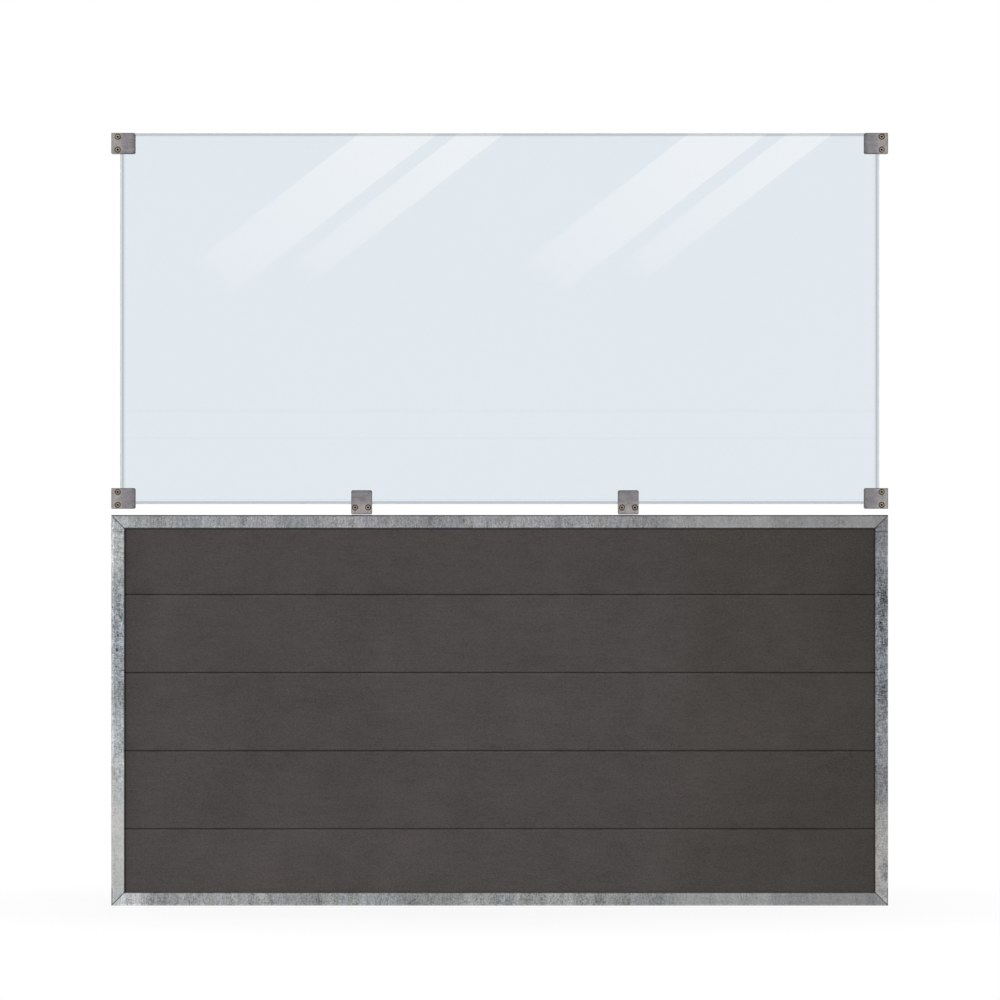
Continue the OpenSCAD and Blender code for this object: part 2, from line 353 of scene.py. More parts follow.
@dataclass(frozen=True)
class GalvanisedSteel:
    """Hot-dipped zinc on folded sheet: cloudy cells, short runs down the face, burnt corners.

    Its tones, its spread of contrast and its dull bands are given by millimetres along the member.
    """

    name: str
    run: Run
    tones: Tones
    width: float
    height: float
    bend: float = 2.6 * MM
    face_from: float = 11.4 * MM
    contrast: float = 1.0
    spread: Levels = ((1230, 1.05), (1330, 0.57))
    cloud_waves: Waves = (24, 24, 9)
    drift_share: float = 0.5
    grain_share: float = 1.25
    tick_share: float = 0.0
    dull_bands: Levels = ()
    dull_soft: float = 12 * MM
    dullness: float = 0.17
    cut_shade: float = 0.26
    # Strength of the painted highlight line inside the lip.
    edge_highlight: float = 0.09
    rim_light: float = 0.0
    rim_reach: float = 7.0 * MM
    glow_from: Span = (330 * MM, 460 * MM)
    foot_reach: float = 41 * MM
    line_below_top: float = 38.3 * MM
    line_shade: float = 0.25

    def material(self) -> Material:
        """Builds the material.

        Returns:
            A material whose tone drifts along the member.
        """
        made, g = new_material(self.name)
        x, _, z = g.split(g.place)
        length, way = (self.width, x) if self.run is Run.ALONG else (self.height, z)
        grain = g.noise((260, 260, 250), 2.0, 0.65)
        runs = g.noise((330, 330, 50), 2.0, 0.6)
        cloud = g.noise(self.cloud_waves, 3.0, 0.6)
        drift = g.noise((5, 5, 5), 1.0)
        spangle = g.cells((330, 330, 310))
        ticks = g.noise((48, 48, 400), 2.0, 0.6)
        specks = g.rise(g.noise((170, 170, 120), 1.0), 0.10, 0.22)
        spread = tuple((at * MM, share) for at, share in self.spread)
        mottle = self.contrast * g.curve(way, length, spread)
        fine = self.grain_share * grain + 0.9 * runs + self.tick_share * ticks + 0.34 * spangle
        level = (1 + mottle * (fine + cloud - 0.16 * specks)) * (1 + self.drift_share * drift)
        for start, end in self.dull_bands:
            level = level * (1 - self.dullness * g.window(way, start * MM, end * MM, self.dull_soft))
        colour = g.shaded(g.ramp(way, length, lit(self.tones), "EASE"), level)
        tint = g.noise((34, 34, 9))
        cool = g.stretched(colour, (0.965, 0.995, 1.03))
        green = g.stretched(colour, (0.985, 1.0, 0.985))
        colour = g.mix(g.rise(tint, 0.0, 0.14) * g.least(mottle, 1.0), colour, cool)
        colour = g.mix(g.rise(tint, -0.02, -0.16), colour, green)
        relief = 0.5 * grain + 0.8 * runs + 0.25 * spangle
        g.surface(
            Base_Color=g.shaded(colour, self._marks(g) * self._scars(g)),
            Metallic=0.72,
            Roughness=0.46 + 0.35 * cloud + 0.12 * spangle,
            Normal=g.bump(relief, 0.12 * MM, 0.5),
        )
        return made

    @staticmethod
    def _scars(g: Graph) -> Socket:
        """Clusters of short dark dashes down the face, and a few pale runs and cross scratches.

        Args:
            g: The material's graph.

        Returns:
            A level round 1 that the colour is multiplied by.
        """
        cluster = g.rise(g.noise((18, 18, 11)), 0.0, 0.14)
        dashes = g.rise(g.noise((330, 330, 95), 1.0), 0.08, 0.18) * cluster
        scratches = g.rise(g.noise((14, 14, 420), 1.0), 0.14, 0.24) * (1 - cluster)
        runs = g.rise(g.noise((230, 230, 9), 1.0), 0.14, 0.24)
        return (1 - 0.26 * dashes) * (1 - 0.10 * scratches) * (1 + 0.11 * runs)

    def _marks(self, g: Graph) -> Socket:
        """The mitres with a painted highlight beside each, painted shade on the top fold and by the lip's
        cut edge, painted highlights inside the lip and along the foot, and a stile's outer edge with its
        painted highlight, and its top line.

        Args:
            g: The material's graph.

        Returns:
            A level, 1 on plain sheet, that the colour is multiplied by.
        """
        x, y, z = g.split(g.place)
        from_side = g.least(x, self.width - x)
        from_end = g.least(z, self.height - z)
        inwards = g.least(from_side, from_end)
        off = from_side - from_end
        face = g.rise(abs(y), self.face_from, self.face_from + 2 * MM)
        on_lip = g.rise(from_side, LIP + 4 * MM, LIP)
        seam = g.line(off, 1.0 * MM, 2.4 * MM) * on_lip
        gleam = g.line(off - 3.2 * MM, 0.6 * MM, 2.0 * MM) * on_lip
        patchy = g.noise((24, 24, 24))
        # Painted reflection: the top fold is darkened as if its bend mirrored a dark ceiling.
        fold_shade = g.step(z, self.height - self.bend, 0.4 * MM) * face * (0.84 + 0.6 * patchy)
        # Painted shade: the sheet darkens towards the lip's cut edge, next to the boards' shadow line.
        cut = g.rise(inwards, LIP - 2.6 * MM, LIP - 1.0 * MM)
        # Painted highlight: a light line about 4 mm in from the lip's cut edge.
        edge_highlight_line = g.line(inwards - (LIP - 3.8 * MM), 0.9 * MM, 1.9 * MM)
        # Painted highlight: the bottom fold is lightened as if its bend mirrored the pale floor.
        foot = g.rise(z, 4.2 * MM, 2.4 * MM) * face
        level = (1 - 0.72 * seam) * (1 + 0.16 * gleam) * (1 - fold_shade) * (1 + 0.34 * foot)
        level = level * (1 - self.cut_shade * cut) * (1 + self.edge_highlight * edge_highlight_line)
        if self.run is Run.UPRIGHT:
            line = g.line(self.height - self.line_below_top - z, 0.9 * MM, 2.4 * MM) * face
            near_foot = g.rise(z, self.foot_reach + 0.8 * MM, self.foot_reach - 0.8 * MM)
            burnt = g.rise(from_side, 4.4 * MM, 2.2 * MM) * face * near_foot
            rim = g.rise(from_side, self.rim_reach, 0.72 * self.rim_reach) * face
            glow = self.rim_light * (0.25 + 0.75 * g.rise(z, *self.glow_from))
            level = level * (1 - self.line_shade * line) * (1 - 0.45 * burnt) * (1 + glow * rim)
        return level


@dataclass(frozen=True)
class BrushedComposite:
    """Dark wood-and-plastic board, brushed along its length, with dirt held in its joints."""

    width: float
    height: float
    first_dirt: float
    pitch: float
    name: str = "brushed_composite"
    # Colour by millimetres along the fence, with painted shade: darker towards the right end and next to
    # each stile.
    tones: Tones = (
        (30, (65, 60, 60)), (44, (69, 64.6, 63.4)), (90, (72, 67.6, 66.6)), (1240, (73, 68.6, 67.6)),
        (1390, (69, 64.5, 61.2)), (1650, (65.5, 61, 58)), (1740, (62, 57.6, 55)), (1770, (59, 55, 53)),
    )
    batches: Tuple[float, ...] = (1.025, 0.965, 1.0, 0.985, 0.935)
    # Height where the painted light that lifts the lower boards ends.
    bottom_lift_top: float = 823.55 * MM
    # How far below the joint's dirt line the painted chamfer highlight lies.
    chamfer_highlight_below: float = 4.4 * MM
    smudge_reach: float = 26 * MM
    # Painted shadow of the frame's lips on the boards: how far it reaches in from the left, right, upper
    # and lower lips, and how dark it is.
    lip_shadow: Levels = ((5.4 * MM, 0.62), (5.0 * MM, 0.30), (5.2 * MM, 0.45), (5.0 * MM, 0.08))

    def material(self) -> Material:
        """Builds the material.

        Returns:
            A matt material with fine strokes along X.
        """
        made, g = new_material(self.name)
        x, _, z = g.split(g.place)
        tone = g.ramp(x, self.width, lit(self.tones))
        strokes = g.noise((24, 300, 300), 3.0, 0.65)
        fine = g.noise((90, 700, 900), 2.0, 0.6)
        speck = g.noise((240, 400, 400), 2.0, 0.65)
        cloud = g.noise((13, 14, 20), 3.0, 0.65)
        patch = g.noise((4.6, 4.6, 3.2))
        level = 1 + 0.50 * strokes + 0.25 * fine + 1.38 * speck + 0.34 * cloud + 0.44 * patch
        green = g.rise(g.noise((5, 5, 9)), 0.0, 0.16)
        colour = g.mix(green, tone, g.stretched(tone, (0.995, 0.995, 0.97)))
        off = g.math("WRAP", z - self.first_dirt, self.pitch / 2, -self.pitch / 2)
        dirt = g.line(off, 1.0 * MM, 2.6 * MM)
        # Painted highlight on the upward chamfer below each joint, patchy along the board.
        chamfer_highlight = g.line(off + self.chamfer_highlight_below, 0.8 * MM, 2.2 * MM)
        along = g.rise(g.noise((3.5, 3.5, 5)), -0.06, 0.12)
        smudge = g.rise(g.noise((17, 17, 17)), 0.04, 0.22) * g.line(off, 3 * MM, self.smudge_reach)
        # Painted light: the boards are lightened towards the bottom to even out the lamps' fall-off.
        bottom_lift = 1 - z / self.bottom_lift_top
        level = level * (1 - 0.04 * dirt) * (1 + (0.06 + 0.26 * along) * chamfer_highlight) * (1 - 0.13 * smudge)
        level = level * (1 + 0.13 * bottom_lift) * self._batch(g, z)
        from_lips = (x - LIP, self.width - LIP - x, self.height - LIP - z, z - LIP)
        # Painted shadow cast by each lip onto the boards.
        for from_lip, (reach, depth) in zip(from_lips, self.lip_shadow):
            level = level * (1 - depth * g.rise(from_lip, reach, 0.6 * reach))
        g.surface(
            Base_Color=g.shaded(colour, level),
            Roughness=0.68 + 0.25 * strokes + 0.2 * speck,
            Specular_IOR_Level=0.2,
            Normal=g.bump(strokes + 0.5 * fine + 0.4 * speck, 0.1 * MM, 0.5),
        )
        return made

    def _batch(self, g: Graph, z: Socket) -> Socket:
        """The small difference in tone from board to board, as a level round 1."""
        feet = [0.0] + [self.first_dirt + row * self.pitch for row in range(len(self.batches) - 1)]
        return g.curve(z, self.height, tuple(zip(feet, self.batches)), "CONSTANT")


@dataclass(frozen=True)
class ClearGlass:
    """Toughened glass, faintly blue, with painted reflections: a grey band along its polished edges, light
    and dark lines along its foot, and faint horizon lines.
    """

    low: Vector
    high: Vector
    name: str = "clear_glass"
    mirror: float = 0.062
    # Colour by millimetres from the pane's edge: a painted reflection of the polished edges, light at the
    # very edge with a grey band inside.
    profile: Tones = (
        (0.0, (228, 233, 236)), (1.7, (221, 226, 230)), (2.9, (188, 194, 198)), (6.6, (190, 196, 201)),
        (7.9, (215, 222, 228)), (11.0, (224, 231, 237)), (16.0, (226, 233, 239)),
    )
    # Level by millimetres above the pane's foot: light and dark lines painted as the arris's inner
    # reflection.
    foot_lines: Levels = (
        (0.0, 0.86), (2.0, 0.88), (3.2, 1.05), (6.4, 1.07), (7.2, 1.26), (8.8, 1.16), (10.0, 0.965),
        (11.6, 0.96), (12.6, 1.035), (15.0, 0.995), (18.0, 1.0),
    )
    # Heights and depth of two faint dark lines painted as a reflected horizon.
    horizon_lines: Span = (152.5 * MM, 215.5 * MM)
    horizon_shade: float = 0.017
    side_shift: float = 1.0 * MM
    top_squeeze: float = 1.25
    roller_pitch: float = 0.28

    def seen_through(self, rgb: Rgb) -> Rgb:
        """The glass colour that shows a white ground as rgb, less the part that its faces mirror."""
        return tuple((c - self.mirror) / (1 - self.mirror) for c in linear(rgb))

    def material(self) -> Material:
        """Builds the material.

        Returns:
            A clear material with a band along the pane's edges.
        """
        made, g = new_material(self.name)
        x, _, z = g.split(g.place)
        from_side = g.least(x - self.low.x, self.high.x - x) - self.side_shift
        above_foot = z - self.low.z
        edge = g.least(from_side, g.least(above_foot, (self.high.z - z) * self.top_squeeze))
        band = tuple((at, self.seen_through(rgb)) for at, rgb in self.profile)
        colour = g.ramp(edge / MM, band[-1][0], band)
        level = g.curve(above_foot / MM, self.foot_lines[-1][0], self.foot_lines)
        for height in self.horizon_lines:
            level = level * (1 - self.horizon_shade * g.line(above_foot - height, 1.6 * MM, 4.6 * MM))
        haze = g.noise((1.3, 1.3, 2.2), 3.0)
        rollers = g.math("SINE", (z + 0.02 * haze) * (2 * math.pi / self.roller_pitch))
        g.surface(
            Base_Color=g.shaded(colour, level * (1 + 0.012 * haze)),
            Roughness=0.004 + 0.02 * g.rise(edge, 7 * MM, 1 * MM),
            IOR=1.5,
            Transmission_Weight=1.0,
            Normal=g.bump(rollers, 0.01 * MM, 0.3),
        )
        return made


@dataclass(frozen=True)
class GroundRim:
    """Rim and arrises of the pane, ground matt and grey-green with fine wheel marks."""

    name: str = "ground_glass_rim"
    rgb: Rgb = (203, 213, 213)

    def material(self) -> Material:
        """Builds the material.

        Returns:
            A satin material with marks along the rim.
        """
        made, g = new_material(self.name)
        grain = g.noise((900, 900, 900), 2.0, 0.6)
        marks = g.noise((40, 1500, 40), 2.0, 0.6)
        cloud = g.noise((14, 60, 14))
        g.surface(
            Base_Color=g.shaded(linear(self.rgb), 1 + 0.10 * grain + 0.14 * marks + 0.16 * cloud),
            Roughness=0.42 + 0.2 * grain + 0.2 * cloud,
            IOR=1.5,
            Normal=g.bump(grain + marks, 0.05 * MM, 0.4),
        )
        return made


@dataclass(frozen=True)
class SatinCastMetal:
    """Cast clamp metal under a satin coat: darker at its tip, with painted shade along its edges and brown
    painted shade round each screw's countersink, and lighter in a ring beyond.
    """

    name: str = "satin_cast_metal"
    place_name: str = "clamp_place"
    # Colour by millimetres from base to tip.
    tones: Tones = (
        (2.75, (136, 132, 131)), (19.8, (136, 132, 131)), (33, (117, 114, 118)),
        (46.2, (117, 114, 118)), (52.8, (107, 106, 111)),
    )
    length: float = 55 * MM
    half_width: float = 24 * MM
    screw_along: float = 15 * MM
    screw_across: float = 15 * MM
    countersink_shade_reach: float = 7.5 * MM
    dusty_below: float = 1.1
    clean_above: float = 1.6

    def material(self) -> Material:
        """Builds the material.

        Returns:
            A metal material that reads each clamp's own measure from base to tip.
        """
        made, g = new_material(self.name)
        along, across, depth = g.split(g.stored(self.place_name, "Vector"))
        grain = g.noise((210, 210, 210), 2.0, 0.65)
        blot = g.noise((62, 62, 62), 3.0, 0.6)
        strokes = g.noise((60, 60, 420), 2.0, 0.6)
        ring = g.far(along - self.screw_along, abs(across) - self.screw_across)
        face = g.rise(depth, 4 * MM, 2 * MM)
        wavy = ring + 2.5 * MM * blot
        # Painted shade of the gap round each countersunk screw, tinted brown.
        countersink_shade = g.rise(wavy, self.countersink_shade_reach + 0.7 * MM, self.countersink_shade_reach - 0.7 * MM) * face
        halo = g.rise(ring, 12 * MM, 8 * MM) * (1 - countersink_shade) * face
        from_tip = self.length - along
        from_side = self.half_width - abs(across)
        # Painted shade along the outline and at the tip's corners, as if the rounded edges mirrored
        # something dark.
        shade = g.rise(g.least(from_side, g.least(along, from_tip)), 2.6 * MM, 0.8 * MM)
        corner = g.rise(from_tip + from_side, 11 * MM, 4 * MM)
        dust = g.rise(g.split(g.place)[2], self.clean_above, self.dusty_below)
        level = (1 + 0.85 * grain + 0.75 * blot + 0.35 * strokes) * (1 + 0.10 * dust)
        level = level * (1 - 0.62 * countersink_shade) * (1 + 0.10 * halo) * (1 - 0.24 * shade) * (1 - 0.22 * corner)
        colour = g.shaded(g.ramp(along, self.length, lit(self.tones)), level)
        tint = g.rise(g.noise((70, 70, 70), 1.0), 0.0, 0.2)
        colour = g.mix(tint, colour, g.stretched(colour, (0.98, 1.01, 0.97)))
        colour = g.mix(0.6 * countersink_shade, colour, g.stretched(colour, (1.06, 0.96, 0.86)))
        g.surface(
            Base_Color=colour,
            Metallic=0.8,
            Roughness=0.4 + 0.4 * blot + 0.2 * grain,
            Normal=g.bump(grain + 0.6 * blot + 0.4 * strokes, 0.15 * MM, 0.5),
        )
        return made


@dataclass(frozen=True)
class Moulded:
    """Moulded rubber or plastic with a fine grain, and a second tone that lies on it in clouds.

    Roughness: level, part of the grain, part of the clouds. Relief: depth, strength, part of the
    clouds.
    """

    name: str
    rgb: Rgb
    cloud_rgb: Rgb
    grain_waves: Waves
    cloud_waves: Waves
    cloud_share: float
    tone_grain: float
    rough: Triple
    specular: float
    relief: Triple

    def material(self) -> Material:
        """Builds the material.

        Returns:
            A material with clouds of dust or moulding marks in its grain.
        """
        made, g = new_material(self.name)
        grain = g.noise(self.grain_waves, 2.0, 0.6)
        cloud = g.noise(self.cloud_waves, 3.0, 0.6)
        share = g.rise(cloud, 0.0, 0.3) * self.cloud_share
        colour = g.mix(share, linear(self.rgb), linear(self.cloud_rgb))
        level, by_grain, by_cloud = self.rough
        depth, strength, raised = self.relief
        g.surface(
            Base_Color=g.shaded(colour, 1 + self.tone_grain * grain),
            Roughness=level + by_grain * grain + by_cloud * cloud,
            Specular_IOR_Level=self.specular,
            Normal=g.bump(grain + raised * cloud, depth, strength),
        )
        return made


GASKET_RUBBER = Moulded(
    "gasket_rubber", (38, 38, 40), (74, 73, 72), (900, 900, 900), (120, 120, 120), cloud_share=0.35,
    tone_grain=0.3, rough=(0.8, 0.2, 0.0), specular=0.3, relief=(0.1 * MM, 0.5, 0.4),
)
PAD_PLASTIC = Moulded(
    "pad_plastic", (226, 228, 229), (205, 208, 210), (700, 700, 700), (90, 90, 160), cloud_share=0.3,
    tone_grain=0.06, rough=(0.48, 0.3, 0.2), specular=0.5, relief=(0.05 * MM, 0.4, 0.0),
)


@dataclass(frozen=True)
class ScrewSteel:
    """Plated screw steel with painted shade: dark brown in the ring of its head, where the countersink's
    gap lies, and black in its socket.
    """

    name: str = "screw_steel"
    radius_name: str = "from_axis"
    face: Rgb = (172, 159, 144)
    # Painted shade of the gap round the head.
    ring_shade: Rgb = (44, 36, 30)
    # Painted shade of the socket's recess.
    socket: Rgb = (10, 8, 7)
    socket_edge: float = 3.2 * MM
    socket_soft: float = 0.25 * MM
    face_edge: float = 4.4 * MM
    face_soft: float = 0.3 * MM

    def material(self) -> Material:
        """Builds the material.

        Returns:
            A metal material that reads how far the surface lies from the screw's axis.
        """
        made, g = new_material(self.name)
        far = g.stored(self.radius_name, "Fac")
        grain = g.noise((700, 700, 700), 2.0, 0.6)
        wander = g.noise((160, 160, 160), 2.0, 0.6)
        outer = g.step(far + 1.6 * MM * wander, self.face_edge, self.face_soft)
        inner = g.rise(far, self.socket_edge + self.socket_soft, self.socket_edge - self.socket_soft)
        colour = g.mix(outer, linear(self.face), linear(self.ring_shade))
        colour = g.mix(inner, colour, linear(self.socket))
        g.surface(
            Base_Color=g.shaded(colour, 1 + 0.5 * grain + 0.4 * wander),
            Metallic=0.85 - 0.5 * outer - 0.5 * inner,
            Roughness=0.4 + 0.25 * outer + 0.2 * grain,
            Specular_IOR_Level=0.12,
            Normal=g.bump(grain, 0.08 * MM, 0.4),
        )
        return made


# ---- meshes


def new_object(name: str, mesh: Mesh, material: Material) -> Object:
    """Turns a finished bmesh into an object of the scene.

    Args:
        name: The object's name.
        mesh: Its shape, in place. It is freed.
        material: Its material.

    Returns:
        The new object, at the origin.
    """
    data = bpy.data.meshes.new(name)
    mesh.to_mesh(data)
    mesh.free()
    data.materials.append(material)
    made = bpy.data.objects.new(name, data)
    bpy.context.scene.collection.objects.link(made)
    return made


def add_piece(name: str, mesh: Mesh, material: Material, crisp: float) -> Object:
    """Turns a finished bmesh into a piece that rides on the bay, smooth but for its crisp edges.

    Args:
        name: The piece's name.
        mesh: Its shape, in place. It is freed.
        material: Its material.
        crisp: The angle in degrees from which an edge stays crisp.

    Returns:
        The new object, at the origin.
    """
    piece = new_object(name, mesh, material)
    piece.data.shade_smooth()
    piece.data.set_sharp_from_angle(angle=math.radians(crisp))
    weighted = piece.modifiers.new("flat_faces", "WEIGHTED_NORMAL")
    weighted.keep_sharp = True
    weighted.mode = "FACE_AREA"
    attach(piece, ROOT)
    LOG.info("%s: %d faces, finished in %s", name, len(piece.data.polygons), material.name)
    return piece


def merged_copy(node: Object) -> Mesh:
    """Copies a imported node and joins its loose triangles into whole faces.

    Args:
        node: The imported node, which is left as it is.

    Returns:
        A closed bmesh of the same shape.
    """
    mesh = bmesh.new()
    mesh.from_mesh(node.data)
    bmesh.ops.remove_doubles(mesh, verts=mesh.verts, dist=SAME_POINT)
    bmesh.ops.dissolve_limit(mesh, angle_limit=SAME_PLANE, verts=mesh.verts, edges=mesh.edges)
    return mesh


def round_edges(mesh: Mesh, keep: Test, width: float, segments: int) -> None:
    """Rounds the edges that a test picks.

    Args:
        mesh: The shape, changed in place.
        keep: Says whether an edge is rounded.
        width: How far the rounding reaches from the edge.
        segments: How many steps it has.
    """
    picked = [e for e in mesh.edges if e.is_manifold and keep(e)]
    bmesh.ops.bevel(
        mesh, geom=picked, offset=width, offset_type="OFFSET", segments=segments, profile=0.5,
        affect="EDGES", clamp_overlap=True, material=-1,
    )


def dress(node: Object, material: Material) -> None:
    """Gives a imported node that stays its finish.

    Args:
        node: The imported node.
        material: The material for all its slots.
    """
    for place in node.material_slots:
        place.material = material
    LOG.info("%s: packed shape kept, finished in %s", node.name, material.name)


# ---- sub-assemblies


@dataclass
class SteelFrame:
    """The mitred frame of folded channel, two rails and two stiles."""

    nodes: Dict[str, Object]
    edge_round: float = 0.35 * MM
    edge_steps: int = 3
    long_edge: float = 35 * MM
    cut_angle: float = math.radians(60)
    crisp_angle: float = 35

    RAIL_TONES = (
        (0, (161, 162, 164)), (36, (159, 160, 162)), (46, (142, 143, 145)),
        (900, (142.5, 142.5, 144.5)), (1250, (142.5, 142.5, 143.5)),
    )
    SILL_TONES = (
        (0, (172, 172, 172)), (32, (178, 178, 178)), (56, (179, 179, 179)), (76, (160, 160, 160)),
        (92, (153, 153, 153)), (112, (140, 140, 141)), (160, (148, 149, 150)),
        (900, (146, 147, 147)), (1560, (146, 147, 147)), (1680, (142, 142, 142)),
    )
    RAIL_DULL = ((385, 490), (660, 812), (1112, 1300), (1530, 1900))
    # Stile tones by millimetres up; the left stile being lighter than the right is painted reflection.
    LEFT_TONES = (
        (0, (168, 169, 167)), (150, (184, 184, 182)), (290, (173, 175, 174)), (400, (163, 166, 168)),
        (500, (142, 145, 148)), (690, (134, 138, 142)), (750, (149, 152, 154)), (800, (170, 173, 173)),
        (860, (164, 166, 167)), (876, (152, 154, 156)), (905, (150, 151, 154)),
    )
    RIGHT_TONES = (
        (0, (152, 150, 148)), (200, (142, 142, 140)), (300, (117, 117, 120)), (385, (132, 133, 137)),
        (560, (115, 118, 123)), (700, (121, 124, 128)), (905, (112, 113, 117)),
    )
    LEFT_SPREAD = (
        (225, 0.44), (300, 1.25), (480, 1.3), (560, 2.05), (665, 2.1), (775, 1.0), (840, 1.2), (890, 1.9),
    )
    RIGHT_SPREAD = (
        (0, 1.0), (230, 1.05), (300, 1.4), (420, 1.2), (560, 1.9), (700, 2.0), (770, 1.5), (840, 1.2),
    )

    def build(self) -> None:
        """Makes and dresses the four members, whose zinc aged each in its own way; the left stile's lighter
        tones than the right's are painted reflection.
        """
        low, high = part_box("frame_bottom_rail")
        width, top = high.x - low.x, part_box("frame_top_rail")[1].z
        rail = GalvanisedSteel(
            "galvanised_top_rail", Run.ALONG, self.RAIL_TONES, width, top,
            cloud_waves=(52, 26, 12), drift_share=0.12, dull_bands=self.RAIL_DULL,
        )
        sill = replace(
            rail, name="galvanised_bottom_rail", tones=self.SILL_TONES, contrast=1.1, cut_shade=0.46
        )
        left = GalvanisedSteel(
            "galvanised_left_stile", Run.UPRIGHT, self.LEFT_TONES, width, top, contrast=1.05,
            spread=self.LEFT_SPREAD, grain_share=0.6, tick_share=0.75, rim_light=0.34,
        )
        right = replace(
            left, name="galvanised_right_stile", tones=self.RIGHT_TONES, contrast=1.25,
            spread=self.RIGHT_SPREAD, edge_highlight=0.0, rim_light=0.6, rim_reach=3.4 * MM, line_shade=0.45,
        )
        finishes = {"bottom_rail": sill, "top_rail": rail, "left_stile": left, "right_stile": right}
        for member, finish in finishes.items():
            self._member(member, finish.material())

    def _member(self, member: str, material: Material) -> None:
        """Makes one channel with the cut edges of its lips eased.

        Args:
            member: The member's name without its prefix.
            material: Its finish.
        """

        def cut_edge(edge: Edge) -> bool:
            """True for a long straight edge of the sheet."""
            return edge.calc_length() > self.long_edge and edge.calc_face_angle() > self.cut_angle

        node = self.nodes[f"frame_{member}"]
        mesh = merged_copy(node)
        round_edges(mesh, cut_edge, self.edge_round, self.edge_steps)
        piece = add_piece(f"steel_{member}", mesh, material, self.crisp_angle)
        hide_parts(node.name)


@dataclass
class BoardStack:
    """The five hollow composite boards between the rails."""

    nodes: Dict[str, Object]
    rows: int = 5
    tongue: float = 10 * MM
    joint_gap: float = 1 * MM
    dirt_above: float = 2 * MM

    def build(self) -> None:
        """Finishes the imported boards, whose dirt lies on the chamfers just above the joints."""
        low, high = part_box("frame_bottom_rail")
        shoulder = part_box("board_1")[1].z - self.tongue
        material = BrushedComposite(
            width=high.x - low.x,
            height=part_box("frame_top_rail")[1].z,
            first_dirt=shoulder + self.joint_gap / 2 + self.dirt_above,
            pitch=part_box("board_3")[0].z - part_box("board_2")[0].z,
        ).material()
        for row in range(1, self.rows + 1):
            dress(self.nodes[f"board_{row}"], material)


@dataclass
class GlassPane:
    """The clear pane above the boards."""

    arris: float = 1 * MM
    arris_steps: int = 3
    crisp_angle: float = 50
    flat: float = 0.999

    def build(self) -> None:
        """Makes the pane with ground arrises."""
        low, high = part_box("glass_pane")
        mesh = bmesh.new()
        bmesh.ops.create_cube(mesh, size=1.0)
        bmesh.ops.scale(mesh, vec=high - low, verts=mesh.verts)
        bmesh.ops.translate(mesh, vec=(low + high) / 2, verts=mesh.verts)
        round_edges(mesh, lambda edge: True, self.arris, self.arris_steps)
        for face in mesh.faces:
            face.material_index = int(abs(face.normal.y) < self.flat)
        clear = ClearGlass(low, high).material()
        piece = add_piece("glass_screen", mesh, clear, self.crisp_angle)
        piece.data.materials.append(GroundRim().material())
        piece.visible_shadow = False
        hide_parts("glass_pane")


class Facing(Enum):
    """Which way a clamp points from its base, along X and Z."""

    RIGHT = (1, 0)
    LEFT = (-1, 0)
    UP = (0, 1)


@dataclass
class ClampScrew:
    """A countersunk socket screw, made on its axis with its head to the front."""

    head_radius: float = 6 * MM
    face_radius: float = 4.6 * MM
    face_inner: float = 3.3 * MM
    rim_drop: float = 0.35 * MM
    shank_radius: float = 3 * MM
    length: float = 16 * MM
    socket_flats: float = 5 * MM
    socket_depth: float = 3 * MM
    sides: int = 36

    def mesh(self, centre: Vector) -> Mesh:
        """Makes the screw.

        Args:
            centre: The middle of its face.

        Returns:
            The closed shape, in place.
        """
        made = bmesh.new()
        half = (
            (self.face_inner, 0.0), (self.face_radius, 0.0), (self.head_radius, self.rim_drop),
            (self.shank_radius, self.rim_drop + self.head_radius - self.shank_radius),
            (self.shank_radius, self.length - self.shank_radius / 2),
            (self.shank_radius / 2, self.length), (0.0, self.length),
        )
        points = [made.verts.new((radius, depth, 0)) for radius, depth in half]
        line = [made.edges.new(pair) for pair in zip(points, points[1:])]
        bmesh.ops.spin(
            made, geom=points + line, cent=(0, 0, 0), axis=(0, 1, 0), dvec=(0, 0, 0),
            angle=2 * math.pi, steps=self.sides, use_merge=True,
        )
        bmesh.ops.remove_doubles(made, verts=made.verts, dist=SAME_POINT)
        self._socket(made)
        bmesh.ops.recalc_face_normals(made, faces=made.faces)
        bmesh.ops.translate(made, vec=centre, verts=made.verts)
        return made

    def _socket(self, made: Mesh) -> None:
        """Cuts the hexagon socket into the open middle of the face.

        Args:
            made: The lathed shape, with one open ring in its face.
        """
        ring = [e for e in made.edges if e.is_boundary]
        corner = self.socket_flats / math.sqrt(3)
        upright = Matrix.Rotation(math.radians(90), 4, "X")
        hexagon = bmesh.ops.create_circle(made, segments=6, radius=corner, matrix=upright)
        flats = {e for v in hexagon["verts"] for e in v.link_edges}
        bmesh.ops.subdivide_edges(made, edges=list(flats), cuts=self.sides // len(flats) - 1)
        inner = [e for e in made.edges if e.is_wire]
        bmesh.ops.bridge_loops(made, edges=ring + inner)
        walls = bmesh.ops.extrude_edge_only(made, edges=[e for e in inner if e.is_valid])
        floor = [e for e in walls["geom"] if isinstance(e, Edge) and e.is_boundary]
        deep = {v for e in floor for v in e.verts}
        bmesh.ops.translate(made, vec=(0, self.socket_depth, 0), verts=list(deep))
        bmesh.ops.contextual_create(made, geom=floor)


